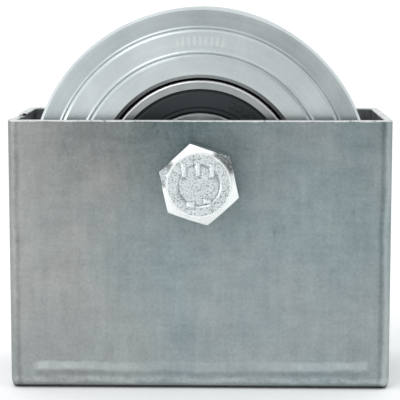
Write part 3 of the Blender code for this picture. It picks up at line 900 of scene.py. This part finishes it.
def seal_dashes(name, facing, centre, look):
    """Plain raised dashes along an arc of the seal's face."""
    section = [(20.1, 7.02), (20.35, 7.42), (21.6, 7.44), (21.85, 7.04)]
    length = 3.2
    steps = 6
    for number, degrees in enumerate((50, 55.5, 61, 66.5)):
        bm = bmesh.new()
        rows = []
        for k in range(steps + 1):
            a = math.radians(degrees - length / 2 + length * k / steps)
            points = [(r * math.cos(a), facing * y, r * math.sin(a)) for r, y in section]
            rows.append([bm.verts.new(Vector(point) * MM) for point in points])
        bridge(bm, rows, closed=True)
        bm.faces.new(rows[0])
        bm.faces.new(rows[-1])
        finish_mesh(bm, f"{name}_dash_{number + 1}", look, "wheel_assembly", [], centre)


def cage(side, name, prefix, centre, look):
    """A ring with a round pocket for each ball, open on the side away from the wheel's middle."""
    back, mouth = -side * 5.0, side * 2.0
    section = [(18.0, back, 0.2), (20.9, back, 0.2), (20.9, mouth, 0.25), (18.0, mouth, 0.25)]
    made = finish_mesh(lathe(rounded(section, 3), 144), prefix + "crown_cage", look, name + "_cage",
                       [prefix + "cage"], centre)
    pockets = bmesh.new()
    for number in range(BALLS):
        place = Matrix.Translation(ball_place(number))
        bmesh.ops.create_uvsphere(pockets, u_segments=28, v_segments=20, radius=POCKET_RADIUS, matrix=place)
    cut(made, pockets)


# ---------------------------------------------------------------- the axle

def hexagon(angle, turn):
    """A hexagon's radius at an angle, its corners a little rounded."""
    from_flat = (angle - turn) % (math.pi / 3) - math.pi / 6
    sharp = ACROSS_FLATS / 2 / math.cos(from_flat)
    rounding_starts = ACROSS_FLATS / 2 / math.cos(math.pi / 6) - 0.1 * MM
    return sharp - 0.6 * max(0.0, sharp - rounding_starts)


def chamfered(angle, turn, share):
    """(radius, drop) on a hexagon's chamfer: share is 0 at the round face and 1 at the hexagon's edge."""
    radius = HEAD_FACE_RADIUS + (hexagon(angle, turn) - HEAD_FACE_RADIUS) * share
    return radius, (radius - HEAD_FACE_RADIUS) * CHAMFER_SLOPE


def head_relief(angle, radius):
    """How far the head's face stands proud: a sunk middle in a hollow ring, raised bars, and pebbling."""
    x, z = radius * math.cos(angle) / MM, radius * math.sin(angle) / MM
    sunk = min(1, max(0, (RECESS_RADIUS - radius) / (0.5 * MM)))
    relief = -RECESS_DEPTH * sunk * sunk * (3 - 2 * sunk)
    hollow = max(0, 1 - ((radius - HOLLOW_RING_RADIUS) / HOLLOW_RING_HALF_WIDTH) ** 2)
    for middle_x, middle_z, half_x, half_z in HEAD_BARS:
        outside = max(abs(x - middle_x) - half_x, abs(z - middle_z) - half_z)
        raised = min(1, max(0, 0.5 - outside / 0.3))
        relief += (BAR_HEIGHT - relief) * raised
        hollow = max(hollow * (1 - raised), 0.6 * (1 - ((outside - 0.35) / 0.25) ** 2))
    relief -= HOLLOW_DEPTH * max(0, hollow)
    place = Vector((x, 0, z)) * MM
    pebbles = noise.noise(place / (0.5 * MM)) * 0.012 + noise.noise(place / (1.8 * MM)) * 0.04
    return relief + pebbles * MM


def bolt(look):
    """Hexagon head with a forged face, washer face, shank and rolled thread."""
    tip = -HEAD_HEIGHT

    def face_loop(radius):
        return lambda angle: (radius, tip - head_relief(angle, radius))

    def chamfer_loop(share):
        def place(angle):
            radius, drop = chamfered(angle, HEAD_TURN, share)
            return radius, tip + drop - head_relief(angle, radius) * (1 - share)
        return place

    def side_loop(inset, below_chamfer, y=None):
        def place(angle):
            edge, drop = chamfered(angle, HEAD_TURN, 1)
            return edge - inset, tip + drop + below_chamfer if y is None else y
        return place

    loops = [lambda angle: (0, tip - head_relief(0, 0))]
    loops += [face_loop(HEAD_FACE_RADIUS * k / HEAD_RINGS) for k in range(1, HEAD_RINGS + 1)]
    loops += [chamfer_loop(share) for share in (0.06, 0.2, 0.4, 0.6, 0.8, 0.93)]
    loops += [side_loop(0.03 * MM, 0.04 * MM), side_loop(0, 0.14 * MM), side_loop(0, 0.6 * MM)]
    loops += [side_loop(inset * MM, 0, y * MM) for inset, y in ((0, -0.6), (0.05, -0.46), (0.18, -0.4))]
    washer_face = [(8.4, -0.4), (8.4, -0.06), (8.32, 0), (6.5, 0), (6.12, 0.08), (6.0, 0.35)]
    loops += [lambda angle, r=r, y=y: (r * MM, y * MM) for r, y in washer_face]
    start = BOLT_LENGTH - THREAD_LENGTH

    def thread_loop(y):
        def place(angle):
            phase = (y / THREAD_PITCH - angle / (2 * math.pi)) % 1
            wave = min(1, max(0, 2.6 * abs(phase - 0.5) - 0.2))
            fade = min(1, (y - start) / (2 * MM))
            radius = BOLT_RADIUS - THREAD_DEPTH * (1 - wave) * fade
            return min(radius, BOLT_RADIUS - THREAD_DEPTH + (BOLT_LENGTH - y)), y
        return place

    count = round(THREAD_LENGTH / (THREAD_PITCH / THREAD_STEPS))
    loops += [thread_loop(start + THREAD_LENGTH * k / count) for k in range(count + 1)]
    loops.append(lambda angle: (0, BOLT_LENGTH))
    place = AXLE + Vector((0, -BOX_HALF_DEPTH - 0.01 * MM, 0))
    bm = polar_bmesh(loops, 240)
    return finish_mesh(bm, "forged_axle_bolt", look, "housing", ["axle_bolt"], place, 50)


def lock_nut(looks):
    """A hexagon nut with a collar that holds a nylon ring."""

    def chamfer_loop(share, base, way):
        def place(angle):
            radius, drop = chamfered(angle, NUT_TURN, share)
            return radius, base + way * drop
        return place

    def plain(corners):
        return [lambda angle, r=r, y=y: (r, y) for r, y in corners]

    inner = [(5.6, 8.6, 0), (5.6, 0.5, 0.1), (6.2, 0, 0.1)]
    loops = plain(rounded(inner + [(8.0, 0, 0), (8.0, 8.6, 0)], 3)[:-2])
    loops += [chamfer_loop(share, 0, 1) for share in (0, 0.3, 0.7, 0.95)]
    loops += [chamfer_loop(1, 0.12 * MM, 1), chamfer_loop(1, NUT_HEIGHT - 0.12 * MM, -1)]
    loops += [chamfer_loop(share, NUT_HEIGHT, -1) for share in (0.95, 0.7, 0.3, 0)]
    collar = [
        (8.3, 9.2, 0), (8.1, 9.45, 0.2), (8.05, 11.2, 0.5), (7.3, 12.0, 0.35), (6.75, 11.9, 0.2),
        (6.8, 11.35, 0.1), (7.7, 11.2, 0.1), (7.7, 8.7, 0.1), (5.6, 8.6, 0),
    ]
    # The first corner and the last three only give the rounding its directions, and are dropped again.
    loops += plain(rounded(collar + [(5.6, 0, 0), (12, 0, 0)], 4)[1:-3])
    place = AXLE + Vector((0, BOX_HALF_DEPTH + WASHER_THICKNESS + GAP, 0))
    nut = polar_bmesh(loops, 240)
    finish_mesh(nut, "hex_lock_nut", looks["zinc"], "housing", ["lock_nut"], place)
    ring = lathe(rounded([(5.7, 8.9, 0.2), (7.6, 8.9, 0.2), (7.6, 11.15, 0.2), (5.7, 11.15, 0.5)], 4))
    finish_mesh(ring, "nylon_lock_ring", looks["nylon"], "housing", ["lock_nut_insert"],
                place)


def plain_ring(name, node, start, length, bore, radius, edge, look):
    """A ring along the axle from y = start. The bore, the radius and the broken edges are in mm."""
    end = length / MM
    corners = [(bore, 0, edge), (radius, 0, edge), (radius, end, edge), (bore, end, edge)]
    place = AXLE + Vector((0, start, 0))
    finish_mesh(lathe(rounded(corners, 4), 144), name, look, "housing", [node], place)


def plain_rings(looks):
    """The washer, the bush and the spacers."""
    wall = BOX_HALF_DEPTH - SHEET
    ring_face = BEARING_CENTRE + BEARING_HALF_WIDTH
    plain_ring("stamped_washer", "rear_washer", BOX_HALF_DEPTH + GAP, WASHER_THICKNESS - GAP,
               6.5, 12.0, 0.35, looks["dull zinc"])
    for name, node, start, end, bore, radius, edge in (
        ("tube_bush", "axle_bush", -wall, wall, 6.3, 12.35, 0.3),
        ("front_spacer_ring", "front_spacer", -wall, -ring_face, 12.6, 15.5, 0.3),
        ("rear_spacer_ring", "rear_spacer", ring_face, wall, 12.6, 15.5, 0.3),
        ("centre_spacer_ring", "centre_spacer", -1 * MM, 1 * MM, 12.6, 16.0, 0.2),
    ):
        plain_ring(name, node, start + GAP, end - start - 2 * GAP, bore, radius, edge, looks["spacer"])


# ---------------------------------------------------------------- studio

def studio_floor():
    bm = bmesh.new()
    bmesh.ops.create_grid(bm, x_segments=8, y_segments=8, size=FLOOR_HALF_SIZE)
    mesh = bpy.data.meshes.new("studio_floor")
    bm.to_mesh(mesh)
    bm.free()
    floor = bpy.data.objects.new("studio_floor", mesh)
    floor.location.z = -GAP
    mesh.materials.append(pale_floor())
    bpy.context.scene.collection.objects.link(floor)


def studio_light():
    """A pale surround: bright at the front left, behind and overhead, dimmer at the front right.

    The camera sees it as plain white.
    """
    world = bpy.data.worlds.new("studio")
    bpy.context.scene.world = world
    world.use_nodes = True
    tree = world.node_tree
    tree.nodes.clear()
    direction = tree.nodes.new("ShaderNodeTexCoord").outputs["Generated"]
    x, y, z = add_node(tree, "ShaderNodeSeparateXYZ", {0: direction}).outputs

    def ranged(value, low, high, to_low, to_high):
        inputs = {"Value": value, "From Min": low, "From Max": high, "To Min": to_low, "To Max": to_high}
        return add_node(tree, "ShaderNodeMapRange", inputs, interpolation_type="SMOOTHSTEP").outputs[0]

    front_card = ranged(x, -0.6, 0.15, 1.4, 0.62)
    front_to_back = ranged(y, -0.75, -0.1, front_card, 1.17)
    overhead = ranged(z, 0.3, 0.7, 0.0, 1.17)
    brighter = add_node(tree, "ShaderNodeMath", {0: front_to_back, 1: overhead}, operation="MAXIMUM")
    inputs = {"Color": (0.97, 0.99, 1.0, 1), "Strength": brighter.outputs[0]}
    glow = add_node(tree, "ShaderNodeBackground", inputs)
    white = add_node(tree, "ShaderNodeBackground", {"Color": (1, 1, 1, 1), "Strength": 1.1})
    seen = tree.nodes.new("ShaderNodeLightPath").outputs["Is Camera Ray"]
    mix = add_node(tree, "ShaderNodeMixShader", {0: seen, 1: glow.outputs[0], 2: white.outputs[0]})
    add_node(tree, "ShaderNodeOutputWorld", {0: mix.outputs[0]})

    for name, place, size, power in SOFTBOXES:
        data = bpy.data.lights.new(name, "AREA")
        data.size = size
        data.energy = power
        lamp = bpy.data.objects.new(name, data)
        lamp.location = place
        lamp.rotation_euler = (AXLE - Vector(place)).to_track_quat("-Z", "Y").to_euler()
        bpy.context.scene.collection.objects.link(lamp)


def camera():
    data = bpy.data.cameras.new("camera")
    data.lens = LENS
    data.sensor_width = 36.0
    data.clip_start = 0.01
    made = bpy.data.objects.new("camera", data)
    made.location = CAMERA_PLACE
    made.rotation_euler = (math.radians(90 - CAMERA_DOWN), 0, math.radians(CAMERA_LEFT))
    bpy.context.scene.collection.objects.link(made)
    bpy.context.scene.camera = made


def main():
    sheet = box_steel()
    shell(-1, "front_shell", sheet).name = "front_half_shell"
    shell(1, "rear_shell", sheet).name = "rear_half_shell"
    weld(weld_steel())
    wheel(wheel_zinc())
    looks = {
        "steel": bearing_steel(),
        "rubber": seal_rubber(),
        "cage": nylon("cage nylon", (0.42, 0.37, 0.27), (0.62, 0.57, 0.45)),
        "zinc": bolt_zinc("bright zinc", (0.5, 0.54, 0.545), (0.78, 0.81, 0.815)),
        "dull zinc": bolt_zinc("dull zinc", (0.34, 0.37, 0.375), (0.56, 0.59, 0.595)),
        "nylon": nylon("insert nylon", (0.02, 0.06, 0.25), (0.05, 0.12, 0.38)),
        "spacer": spacer_steel(),
    }
    bearing(-1, "front", looks)
    bearing(1, "rear", looks)
    bolt(looks["zinc"])
    lock_nut(looks)
    plain_rings(looks)
    studio_floor()
    studio_light()
    camera()
    bpy.context.scene.view_settings.view_transform = "Standard"


main()
